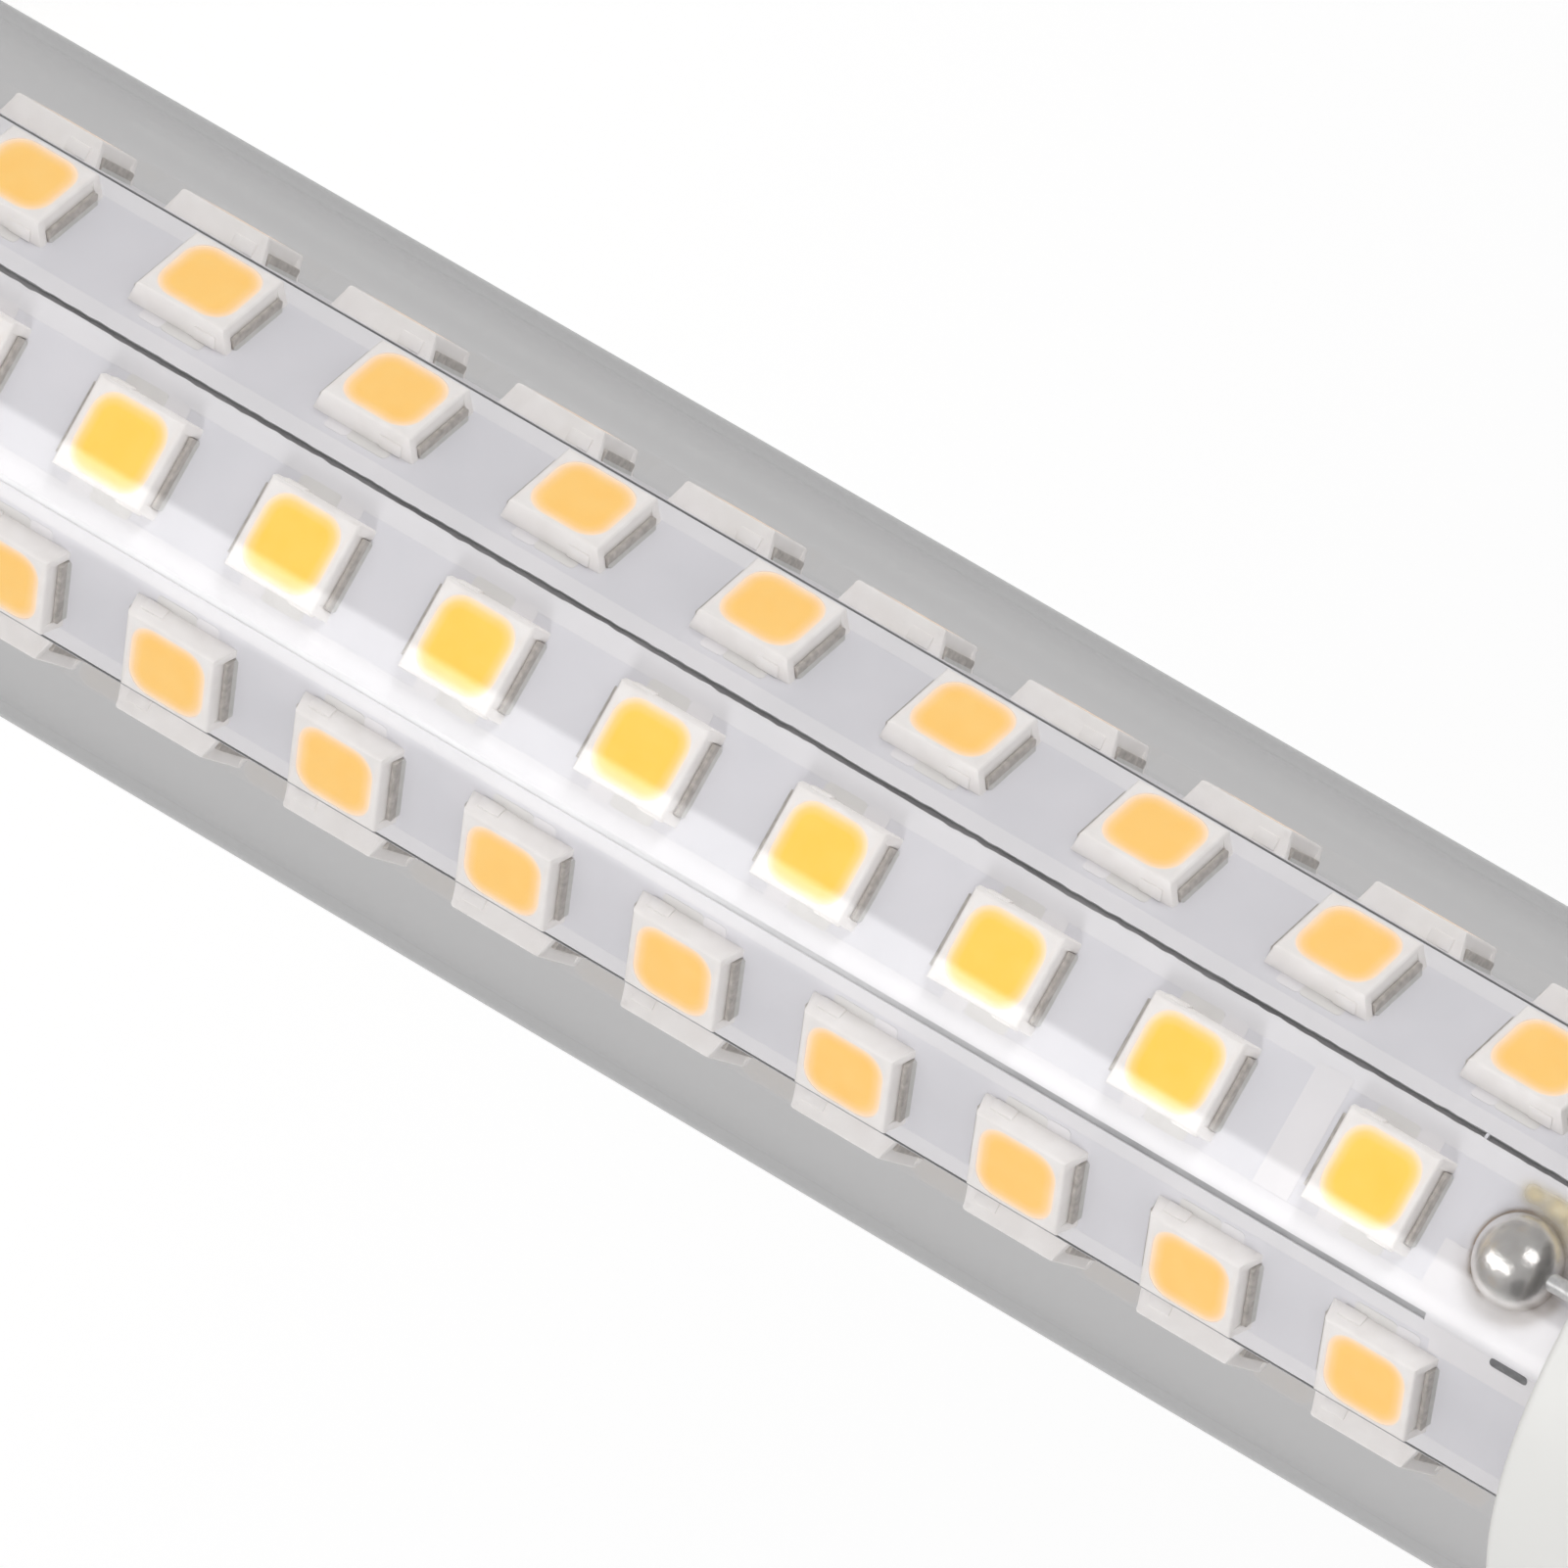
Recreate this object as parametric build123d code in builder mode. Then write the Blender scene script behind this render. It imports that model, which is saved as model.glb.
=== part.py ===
from build123d import *

import os
from math import cos, radians, sin

# Slim LED corn bulb, cap up. The origin is on the axis in the plane of the screw shell's mouth,
# +Z runs out of the cap, and the clear tube hangs below. All sizes are in millimetres.

# Screw cap, small 14 mm size
thread_diameter = 13.9
shell_wall = 0.35
shell_height = 14.5
shell_shoulder = 1.5
insulator_skirt = 1.6
insulator_rise = 2.6
insulator_ledge = 0.7
contact_diameter = 4.8
contact_height = 1.0
contact_chamfer = 0.4
rivet_diameter = 1.8

# Moulded base housing
housing_length = 24.0
collar_lip = 0.45
rim_chamfer = 0.25
taper_length = 3.0
cavity_roof = 2.0
shell_seat = 0.5
neck_length = 9.0
neck_wall = 1.15
mouth_depth = 7.5
shoulder_width = 1.3

# LED column, folded from one board
face_count = 8
column_across_flats = 11.7
board_thickness = 0.8
column_reach = 66.6
slit_width = 0.14
slit_depth = 0.45
unslit_length = 10.5

# Clear tube
column_gap = 2.25
tube_wall = 0.4
tip_floor = 1.2
tip_chamfer = 1.3
tip_crown = 0.6
tip_flat_diameter = 3.0

# LED packages: plastic body, phosphor window and two end terminals
body_length = 3.1
body_width = 2.8
body_height = 0.72
window_length = 2.55
window_width = 2.3
window_height = 0.03
terminal_reach = 0.2
terminal_width = 2.2
terminal_height = 0.35

# LED rows: from the plane of the housing's rim to the first package, and from the last to the column's end.
# The rows on both sides of the pad's face lie a little off the middle of their faces, away from it.
plain_row_start = 6.03
plain_row_end = 3.12
pad_side_row_start = 5.53
pad_side_row_end = 3.95
pad_side_row_shift = 0.2
open_row_start = 5.57
open_row_end = 3.83
open_row_shift = 0.3
pad_row_start = 7.4
pad_row_end = 5.66
pad_first_gap = 6.375
full_row = 11
short_row = 10

# Column supports, moulded
holder_thickness = 1.5
holder_boss = 4.0
spacer_flange = 1.2
spacer_boss = 3.0

# Feeds of the column
solder_diameter = 2.6
solder_sink = 0.15
solder_overlap = 0.5
negative_pad_place = 2.9
positive_pad_place = 2.3
feed_diameter = 0.5
feed_standoff = 0.05

# Driver, on a small board across the housing
driver_thickness = 1.0
driver_across_flats = 13.2
capacitor_diameter = 5.0
capacitor_length = 9.0
capacitor_place = (2.75, 2.2)
rectifier_size = (4.7, 3.8, 1.5)
rectifier_place = (-2.3, 2.4)
chip_size = (4.9, 3.9, 1.4)
chip_place = (-1.4, -2.6)
resistor_size = (1.6, 3.2, 0.6)
resistor_place = (3.2, -2.6)
resistor_pitch = 2.2
live_diameter = 0.6
neutral_diameter = 0.5
neutral_angle = 0
lead_tail = 0.6

# Clearances
press_gap = 0.05
slip_gap = 0.1

# Levels and radii that follow from the sizes above
shell_radius = thread_diameter / 2
contact_radius = contact_diameter / 2
shell_bore_radius = shell_radius - shell_wall
neck_radius = shell_bore_radius - press_gap
neck_bore_radius = neck_radius - neck_wall
rim_level = -housing_length
shoulder_level = rim_level + mouth_depth
column_top = shoulder_level - holder_thickness
driver_top = shoulder_level + driver_thickness
column_bottom = rim_level - column_reach
tip_level = column_bottom - spacer_flange - tip_floor - tip_crown
apothem = column_across_flats / 2
inner_apothem = apothem - board_thickness
fold_step = 360 / face_count
half_step = fold_step / 2
corner_radius = apothem / cos(radians(half_step))
tube_bore_radius = apothem + column_gap
tube_radius = tube_bore_radius + tube_wall
mouth_radius = tube_radius + press_gap
collar_radius = mouth_radius + collar_lip
cavity_radius = mouth_radius - shoulder_width
cavity_top = -cavity_roof
waist_radius = shell_radius + shell_seat

# Face 1 looks along -Y and carries the negative pad; the faces are numbered counterclockwise from above
face_angles = [-90 + fold_step * number for number in range(face_count)]


def face_plane(angle):
    """Outer plane of one face: its origin lies level with the housing's rim, its X runs towards the tip."""
    outward = (cos(radians(angle)), sin(radians(angle)), 0)
    return Plane(
        origin=(apothem * outward[0], apothem * outward[1], rim_level),
        x_dir=(0, 0, -1),
        z_dir=outward,
    )


def finish(builder, name):
    """Label a finished piece and write it out."""
    builder.part.label = name
    export_step(builder.part, f"parts/{name}.step")


os.makedirs("parts", exist_ok=True)

# Base housing: collar for the tube, straight barrel, taper, and a neck inside the screw shell.
# A small bore above the cavity and a groove in the neck lead the neutral wire to the shell.
neutral_radius = shell_bore_radius - press_gap - neutral_diameter / 2
neutral_bore_radius = neutral_diameter / 2 + press_gap
with BuildPart() as base_housing:
    with BuildSketch(Plane.XZ):
        with BuildLine():
            Polyline(
                (mouth_radius, rim_level),
                (collar_radius - rim_chamfer, rim_level),
                (collar_radius, rim_level + rim_chamfer),
                (collar_radius, -taper_length),
                (waist_radius, 0),
                (neck_radius, 0),
                (neck_radius, neck_length),
                (neck_bore_radius, neck_length),
                (neck_bore_radius, cavity_top),
                (cavity_radius, cavity_top),
                (cavity_radius, shoulder_level),
                (mouth_radius, shoulder_level),
                close=True,
            )
        make_face()
    revolve(axis=Axis.Z)
    with BuildSketch(Plane.XY.offset(driver_top)):
        with PolarLocations(neutral_radius, 1, neutral_angle):
            Circle(neutral_bore_radius)
    extrude(amount=neck_length - driver_top, mode=Mode.SUBTRACT)
finish(base_housing, "base_housing")

# Screw shell: drawn sheet cylinder with a chamfered shoulder and a lip round the insulator
shell_top = shell_height + shell_shoulder
lip_radius = shell_radius - shell_shoulder
with BuildPart() as screw_shell:
    with BuildSketch(Plane.XZ):
        with BuildLine():
            Polyline(
                (shell_radius, 0),
                (shell_radius, shell_height),
                (lip_radius, shell_top),
                (lip_radius - shell_wall, shell_top),
                (lip_radius - shell_wall, shell_top - shell_wall),
                (shell_bore_radius, shell_height - shell_wall),
                (shell_bore_radius, 0),
                close=True,
            )
        make_face()
    revolve(axis=Axis.Z)
finish(screw_shell, "screw_shell")

# Cap insulator: glassy plug held under the shoulder, standing out of the shell as a blunt cone
plug_radius = lip_radius - shell_wall - press_gap
skirt_radius = shell_bore_radius - press_gap
skirt_top = shell_height - shell_wall
insulator_bottom = skirt_top - insulator_skirt
insulator_top = shell_top + insulator_rise
rivet_hole_radius = rivet_diameter / 2 + press_gap
with BuildPart() as cap_insulator:
    with BuildSketch(Plane.XZ):
        with BuildLine():
            Polyline(
                (rivet_hole_radius, insulator_bottom),
                (skirt_radius, insulator_bottom),
                (skirt_radius, skirt_top),
                (plug_radius, skirt_top),
                (plug_radius, shell_top),
                (contact_radius + insulator_ledge, insulator_top),
                (rivet_hole_radius, insulator_top),
                close=True,
            )
        make_face()
    revolve(axis=Axis.Z)
finish(cap_insulator, "cap_insulator")

# Centre contact: chamfered button on a rivet through the insulator
contact_top = insulator_top + contact_height
with BuildPart() as centre_contact:
    with BuildSketch(Plane.XZ):
        with BuildLine():
            Polyline(
                (0, insulator_bottom),
                (rivet_diameter / 2, insulator_bottom),
                (rivet_diameter / 2, insulator_top),
                (contact_radius, insulator_top),
                (contact_radius, contact_top - contact_chamfer),
                (contact_radius - contact_chamfer, contact_top),
                (0, contact_top),
                close=True,
            )
        make_face()
    revolve(axis=Axis.Z)
finish(centre_contact, "centre_contact")

# Clear tube: straight wall, closed by a slightly crowned tip with a chamfered edge
tip_floor_level = column_bottom - spacer_flange
tip_edge_level = tip_level + tip_crown
with BuildPart() as clear_tube:
    with BuildSketch(Plane.XZ):
        with BuildLine():
            Polyline(
                (0, tip_level),
                (tip_flat_diameter / 2, tip_level),
                (tube_radius - tip_chamfer, tip_edge_level),
                (tube_radius, tip_edge_level + tip_chamfer),
                (tube_radius, column_top),
                (tube_bore_radius, column_top),
                (tube_bore_radius, tip_floor_level),
                (0, tip_floor_level),
                close=True,
            )
        make_face()
    revolve(axis=Axis.Z)
finish(clear_tube, "clear_tube")

# LED board: one sheet folded to eight faces, slit along the outer corners, open at one seam
seam_angle = face_angles[0] - half_step
pad_fold_angle = face_angles[0] + half_step
plain_folds = face_count - 2
column_length = column_top - column_bottom
seam_cut = 2 * (board_thickness / cos(radians(half_step)) + slit_depth)
with BuildPart() as led_board:
    with BuildSketch(Plane.XY.offset(column_bottom)):
        RegularPolygon(apothem, face_count, major_radius=False, rotation=half_step)
        RegularPolygon(
            inner_apothem, face_count, major_radius=False, rotation=half_step, mode=Mode.SUBTRACT
        )
        with PolarLocations(corner_radius, plain_folds, pad_fold_angle + fold_step, fold_step * plain_folds):
            Rectangle(2 * slit_depth, slit_width, mode=Mode.SUBTRACT)
        with PolarLocations(corner_radius, 1, seam_angle):
            Rectangle(seam_cut, slit_width, mode=Mode.SUBTRACT)
    extrude(amount=column_length)
    with BuildSketch(Plane.XY.offset(column_bottom)):
        with PolarLocations(corner_radius, 1, pad_fold_angle):
            Rectangle(2 * slit_depth, slit_width)
    extrude(amount=column_length - unslit_length, mode=Mode.SUBTRACT)
finish(led_board, "led_board")


def row_places(count, first, end_gap, across=0):
    """Centres of evenly spaced LED packages along a face, the last one end_gap short of the column's end."""
    pitch = (column_reach - end_gap - first) / (count - 1)
    return [(first + pitch * number, across) for number in range(count)]


# One row for each face, in the order of the face numbers; the pad's row starts with one package set apart
plain_row = row_places(full_row, plain_row_start, plain_row_end)
pad_side_row = row_places(full_row, pad_side_row_start, pad_side_row_end, pad_side_row_shift)
open_row = row_places(short_row, open_row_start, open_row_end, -open_row_shift)
pad_row = [(pad_row_start, 0)] + row_places(short_row - 1, pad_row_start + pad_first_gap, pad_row_end)
led_rows = [pad_row, pad_side_row] + [plain_row] * (face_count - 3) + [open_row]

# LED packages: bodies stand on the board, windows lie on the bodies, terminals lie against their ends
terminal_offset = (body_length + terminal_reach) / 2
for number, (angle, places) in enumerate(zip(face_angles, led_rows), start=1):
    face = face_plane(angle)
    with BuildPart() as led_bodies:
        with BuildSketch(face):
            with Locations(*places):
                Rectangle(body_length, body_width)
        extrude(amount=body_height)
    finish(led_bodies, f"led_bodies_face_{number}")

    with BuildPart() as led_phosphor:
        with BuildSketch(face.offset(body_height)):
            with Locations(*places):
                Rectangle(window_length, window_width)
        extrude(amount=window_height)
    finish(led_phosphor, f"led_phosphor_face_{number}")

    with BuildPart() as led_terminals:
        with BuildSketch(face):
            with Locations(*places):
                with Locations((-terminal_offset, 0), (terminal_offset, 0)):
                    Rectangle(terminal_reach, terminal_width)
        extrude(amount=terminal_height)
    finish(led_terminals, f"led_terminals_face_{number}")

# Column holder: disc on the housing's shoulder, with a boss inside the column and a slot for each feed
feed_radius = apothem + feed_standoff + feed_diameter / 2
negative_angle = face_angles[0]
positive_angle = face_angles[-1]
feed_slot = feed_diameter + 2 * slip_gap
with BuildPart() as column_holder:
    with BuildSketch(Plane.XY.offset(shoulder_level)):
        Circle(mouth_radius - slip_gap)
    extrude(amount=-holder_thickness)
    with BuildSketch(Plane.XY.offset(column_top)):
        RegularPolygon(inner_apothem - slip_gap, face_count, major_radius=False, rotation=half_step)
    extrude(amount=-holder_boss)
    with BuildSketch(Plane.XY.offset(shoulder_level)):
        for angle in (negative_angle, positive_angle):
            with PolarLocations(feed_radius, 1, angle):
                Rectangle(feed_slot, feed_slot)
    extrude(amount=-holder_thickness, mode=Mode.SUBTRACT)
finish(column_holder, "column_holder")

# Tip spacer: eight-sided flange that centres the column's free end in the tube, with a boss inside
with BuildPart() as tip_spacer:
    with BuildSketch(Plane.XY.offset(column_bottom)):
        RegularPolygon(tube_bore_radius - slip_gap, face_count, rotation=half_step)
    extrude(amount=-spacer_flange)
    with BuildSketch(Plane.XY.offset(column_bottom)):
        RegularPolygon(inner_apothem - slip_gap, face_count, major_radius=False, rotation=half_step)
    extrude(amount=spacer_boss)
finish(tip_spacer, "tip_spacer")

# Driver board: lies on the column holder, with a notch in its edge for each feed
driver_apothem = driver_across_flats / 2
notch_length = 2 * (driver_apothem - feed_radius) + feed_slot
with BuildPart() as driver_board:
    with BuildSketch(Plane.XY.offset(shoulder_level)):
        RegularPolygon(driver_apothem, face_count, major_radius=False, rotation=half_step)
        for angle in (negative_angle, positive_angle):
            with PolarLocations(driver_apothem, 1, angle):
                Rectangle(notch_length, feed_slot, mode=Mode.SUBTRACT)
    extrude(amount=driver_thickness)
finish(driver_board, "driver_board")

# Parts that stand on the driver board
with BuildPart() as smoothing_capacitor:
    with BuildSketch(Plane.XY.offset(driver_top)):
        with Locations(capacitor_place):
            Circle(capacitor_diameter / 2)
    extrude(amount=capacitor_length)
finish(smoothing_capacitor, "smoothing_capacitor")

with BuildPart() as bridge_rectifier:
    with BuildSketch(Plane.XY.offset(driver_top)):
        with Locations(rectifier_place):
            Rectangle(rectifier_size[0], rectifier_size[1])
    extrude(amount=rectifier_size[2])
finish(bridge_rectifier, "bridge_rectifier")

with BuildPart() as driver_chip:
    with BuildSketch(Plane.XY.offset(driver_top)):
        with Locations(chip_place):
            Rectangle(chip_size[0], chip_size[1])
    extrude(amount=chip_size[2])
finish(driver_chip, "driver_chip")

with BuildPart() as sense_resistors:
    with BuildSketch(Plane.XY.offset(driver_top)):
        with Locations(resistor_place):
            with GridLocations(resistor_pitch, 0, 2, 1):
                Rectangle(resistor_size[0], resistor_size[1])
    extrude(amount=resistor_size[2])
finish(sense_resistors, "sense_resistors")

# Feeds: a tinned lead runs from each solder joint along its face, through the holder, to the driver board
feeds = [
    ("negative", negative_angle, negative_pad_place),
    ("positive", positive_angle, positive_pad_place),
]
for feed, angle, pad_place in feeds:
    feed_start = rim_level - pad_place - solder_overlap
    with BuildPart() as feed_lead:
        with BuildSketch(Plane.XY.offset(feed_start)):
            with PolarLocations(feed_radius, 1, angle):
                Circle(feed_diameter / 2)
        extrude(amount=driver_top + lead_tail - feed_start)
    finish(feed_lead, f"{feed}_lead")

    pad = face_plane(angle)
    with BuildPart() as solder:
        with Locations(pad.location):
            with Locations((pad_place, 0, -solder_sink)):
                Sphere(solder_diameter / 2)
        split(bisect_by=pad)
        add(feed_lead.part, mode=Mode.SUBTRACT)
    finish(solder, f"{feed}_solder")

# Live lead: straight up the axis from the driver board to the rivet of the centre contact
with BuildPart() as live_lead:
    with BuildSketch(Plane.XY.offset(driver_top)):
        Circle(live_diameter / 2)
    extrude(amount=insulator_bottom - driver_top)
finish(live_lead, "live_lead")

# Neutral lead: up from the driver board, through the housing, trapped between the neck and the screw shell
with BuildPart() as neutral_lead:
    with BuildSketch(Plane.XY.offset(driver_top)):
        with PolarLocations(neutral_radius, 1, neutral_angle):
            Circle(neutral_diameter / 2)
    extrude(amount=neck_length - driver_top)
finish(neutral_lead, "neutral_lead")
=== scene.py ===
import math

import bmesh
import bpy
from mathutils import Matrix, Vector, noise


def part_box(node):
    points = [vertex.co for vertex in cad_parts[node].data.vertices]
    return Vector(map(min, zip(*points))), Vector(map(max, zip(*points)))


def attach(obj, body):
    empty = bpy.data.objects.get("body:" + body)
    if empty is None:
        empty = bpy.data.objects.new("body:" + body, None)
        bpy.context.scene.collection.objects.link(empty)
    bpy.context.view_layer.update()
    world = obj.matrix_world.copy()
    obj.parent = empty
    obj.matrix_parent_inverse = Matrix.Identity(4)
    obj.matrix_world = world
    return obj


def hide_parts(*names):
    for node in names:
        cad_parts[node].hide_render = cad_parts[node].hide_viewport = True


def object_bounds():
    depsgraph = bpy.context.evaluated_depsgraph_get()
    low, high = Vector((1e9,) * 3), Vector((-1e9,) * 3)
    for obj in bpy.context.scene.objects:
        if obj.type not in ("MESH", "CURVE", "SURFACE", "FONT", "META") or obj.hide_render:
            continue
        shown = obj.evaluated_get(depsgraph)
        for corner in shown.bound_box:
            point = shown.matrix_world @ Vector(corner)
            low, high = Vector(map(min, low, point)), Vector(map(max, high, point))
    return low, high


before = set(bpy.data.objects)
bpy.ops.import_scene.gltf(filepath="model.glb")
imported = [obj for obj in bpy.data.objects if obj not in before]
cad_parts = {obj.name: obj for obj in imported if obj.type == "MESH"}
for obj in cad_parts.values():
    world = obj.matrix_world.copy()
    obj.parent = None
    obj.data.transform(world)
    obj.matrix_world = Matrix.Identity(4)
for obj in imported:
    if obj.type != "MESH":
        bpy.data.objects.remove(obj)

cad_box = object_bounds()

# LED board: one sheet of aluminium under white solder mask, folded to a column of eight panels.
# It is scored along the folds, but whole for a short way beside the negative pad. One seam is left open,
# and its cut edges are a little ragged.
mm = 0.001
face_count = 8
fold_step = 2 * math.pi / face_count
rim_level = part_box("base_housing")[0].z
board_low, board_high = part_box("led_board")
apothem = board_high.x
board_length = board_high.z - board_low.z
board_start = rim_level - board_high.z
board_end = board_start + board_length
panel_width = 2 * apothem * math.tan(fold_step / 2)
panel_thickness = 0.5 * mm
panel_edge = 0.025 * mm
panel_sharp_angle = 25
upright = 0.8
core_thickness = 0.25 * mm
copper_start = 1.68 * mm
copper_edge = 0.06 * mm
peel_share = 0.07
fold_gap = 0.15 * mm
side_fold_gap = 0.2 * mm
pad_fold_gap = 0.12 * mm
pad_fold_far_gap = 0.37 * mm
pad_fold_closed = 4.45 * mm
pad_score_width = 0.37 * mm
pad_score_depth = 0.07 * mm
pad_score_dark_until = 14 * mm
pad_score_pale_from = 38 * mm
seam_gap = 0.17 * mm
seam_shade_depth = 0.1 * mm
seam_shade_width = 2 * seam_gap
seam_cuts = 420
seam_seed = 7.0
sway_scale = 450
sway_reach = 0.03 * mm
nick_scale = 2600
nick_reach = 0.035 * mm
nick_slice = 5
bridge_width = 1.6 * seam_gap
bridge_start = 5.37 * mm
bridge_end = bridge_start + 0.09 * mm


def face_matrix(number):
    """Place on a panel: X from the rim to the tip, Y across the panel, Z out of it, starting at the rim."""
    angle = -math.pi / 2 + fold_step * (number - 1)
    outward = Vector((math.cos(angle), math.sin(angle), 0))
    along = Vector((0, 0, -1))
    turn = Matrix((along, outward.cross(along), outward)).transposed().to_4x4()
    return Matrix.Translation(outward * apothem + Vector((0, 0, rim_level))) @ turn


def add_block(bm, size, centre, place=Matrix()):
    """A block of that size, and its vertices."""
    verts = bmesh.ops.create_cube(bm, size=1.0)["verts"]
    bmesh.ops.scale(bm, vec=size, verts=verts)
    bmesh.ops.translate(bm, vec=centre, verts=verts)
    bmesh.ops.transform(bm, matrix=place, verts=verts)
    return verts


def round_edges(bm, edges, offset, segments=2):
    """Round some edges off."""
    return bmesh.ops.bevel(
        bm, geom=edges, offset=offset, segments=segments, profile=0.5, affect="EDGES", material=-1
    )


def add_piece(name, bm, finish, replaced=(), sharp_angle=35):
    """Make a finished bmesh a piece of the bulb."""
    mesh = bpy.data.meshes.new(name)
    bm.to_mesh(mesh)
    bm.free()
    mesh.materials.append(finish)
    mesh.shade_smooth()
    mesh.set_sharp_from_angle(angle=math.radians(sharp_angle))
    piece = bpy.data.objects.new(name, mesh)
    bpy.context.scene.collection.objects.link(piece)
    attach(piece, "root")
    if replaced:
        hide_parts(*replaced)
    return piece


def start_finish(name, color, roughness, metallic=0.0):
    """A material with its Principled shader set up, to which the grain is added."""
    finish = bpy.data.materials.new(name)
    finish.use_nodes = True
    shader = finish.node_tree.nodes["Principled BSDF"]
    shader.inputs["Base Color"].default_value = (*color, 1)
    shader.inputs["Roughness"].default_value = roughness
    shader.inputs["Metallic"].default_value = metallic
    return finish, finish.node_tree, shader


def add_grain(tree, scale, detail=3.0, stretch=(1, 1, 1)):
    """Noise on Object coordinates, with scale in cycles a metre."""
    place = tree.nodes.new("ShaderNodeTexCoord")
    mapping = tree.nodes.new("ShaderNodeMapping")
    mapping.inputs["Scale"].default_value = stretch
    grain = tree.nodes.new("ShaderNodeTexNoise")
    grain.inputs["Scale"].default_value = scale
    grain.inputs["Detail"].default_value = detail
    tree.links.new(place.outputs["Object"], mapping.inputs["Vector"])
    tree.links.new(mapping.outputs["Vector"], grain.inputs["Vector"])
    return grain.outputs["Fac"]


def add_ramp(tree, factor, first_color, last_color, first=0.3, last=0.7):
    """A blend of two colours by a factor."""
    ramp = tree.nodes.new("ShaderNodeValToRGB")
    ramp.color_ramp.elements[0].position = first
    ramp.color_ramp.elements[0].color = (*first_color, 1)
    ramp.color_ramp.elements[1].position = last
    ramp.color_ramp.elements[1].color = (*last_color, 1)
    tree.links.new(factor, ramp.inputs["Fac"])
    return ramp.outputs["Color"]


def add_tint(tree, shader, factor, first_color, last_color):
    """Base colour that runs from one colour to another by a factor."""
    tree.links.new(add_ramp(tree, factor, first_color, last_color), shader.inputs["Base Color"])


def add_mix(tree, factor, first, second):
    """One colour over another by a mask."""
    mix = tree.nodes.new("ShaderNodeMix")
    mix.data_type = "RGBA"
    tree.links.new(factor, mix.inputs["Factor"])
    tree.links.new(first, mix.inputs["A"])
    tree.links.new(second, mix.inputs["B"])
    return mix.outputs["Result"]


def add_math(tree, operation, first, second):
    """One step of arithmetic on two values, of which the second may be a number."""
    step = tree.nodes.new("ShaderNodeMath")
    step.operation = operation
    tree.links.new(first, step.inputs[0])
    if isinstance(second, (int, float)):
        step.inputs[1].default_value = second
    else:
        tree.links.new(second, step.inputs[1])
    return step.outputs["Value"]


def add_attribute(tree, name):
    """A value kept on the vertices of a piece."""
    attribute = tree.nodes.new("ShaderNodeAttribute")
    attribute.attribute_name = name
    return attribute.outputs["Fac"]


def add_step(tree, value, low, high):
    """A soft step from 0 at low to 1 at high."""
    step = tree.nodes.new("ShaderNodeMapRange")
    step.interpolation_type = "SMOOTHSTEP"
    step.inputs["From Min"].default_value = low
    step.inputs["From Max"].default_value = high
    tree.links.new(value, step.inputs["Value"])
    return step.outputs["Result"]


def add_relief(tree, shader, height, strength, distance):
    """Bump from a height, in metres at full strength."""
    bump = tree.nodes.new("ShaderNodeBump")
    bump.inputs["Strength"].default_value = strength
    bump.inputs["Distance"].default_value = distance
    tree.links.new(height, bump.inputs["Height"])
    tree.links.new(bump.outputs["Normal"], shader.inputs["Normal"])


def mask_finish():
    """White mask: slightly bluish on the bare sheet, and lighter over the copper along the folds."""
    finish, tree, shader = start_finish("white_mask", (0.7, 0.7, 0.73), roughness=0.42)
    across = add_math(tree, "ABSOLUTE", add_attribute(tree, "across_panel"), 0)
    copper = add_step(tree, across, copper_start, copper_start + copper_edge)
    cloud = add_grain(tree, scale=420)
    on_sheet = add_ramp(tree, cloud, (0.67, 0.665, 0.70), (0.71, 0.70, 0.735))
    on_copper = add_ramp(tree, cloud, (0.745, 0.735, 0.755), (0.78, 0.765, 0.785))
    tree.links.new(add_mix(tree, copper, on_sheet, on_copper), shader.inputs["Base Color"])
    peel = add_math(tree, "MULTIPLY", add_grain(tree, scale=3200), peel_share)
    add_relief(tree, shader, add_math(tree, "ADD", copper, peel), strength=0.3, distance=0.02 * mm)
    return finish


def scored_finish():
    """Bare aluminium at the bottom of the scores, dull from cutting."""
    finish, tree, shader = start_finish("scored_aluminium", (0.2, 0.2, 0.2), roughness=0.6, metallic=0.3)
    marks = add_grain(tree, scale=1500, detail=4.0, stretch=(1, 1, 0.2))
    add_tint(tree, shader, marks, (0.28, 0.28, 0.285), (0.46, 0.46, 0.47))
    add_relief(tree, shader, marks, strength=0.3, distance=0.05 * mm)
    return finish


def ragged(along, seed):
    """How far the cut edge of the seam strays at a place along it."""
    slow = noise.noise((along * sway_scale, seed, 0)) * sway_reach
    return slow + noise.noise((along * nick_scale, seed, nick_slice)) * nick_reach


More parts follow.
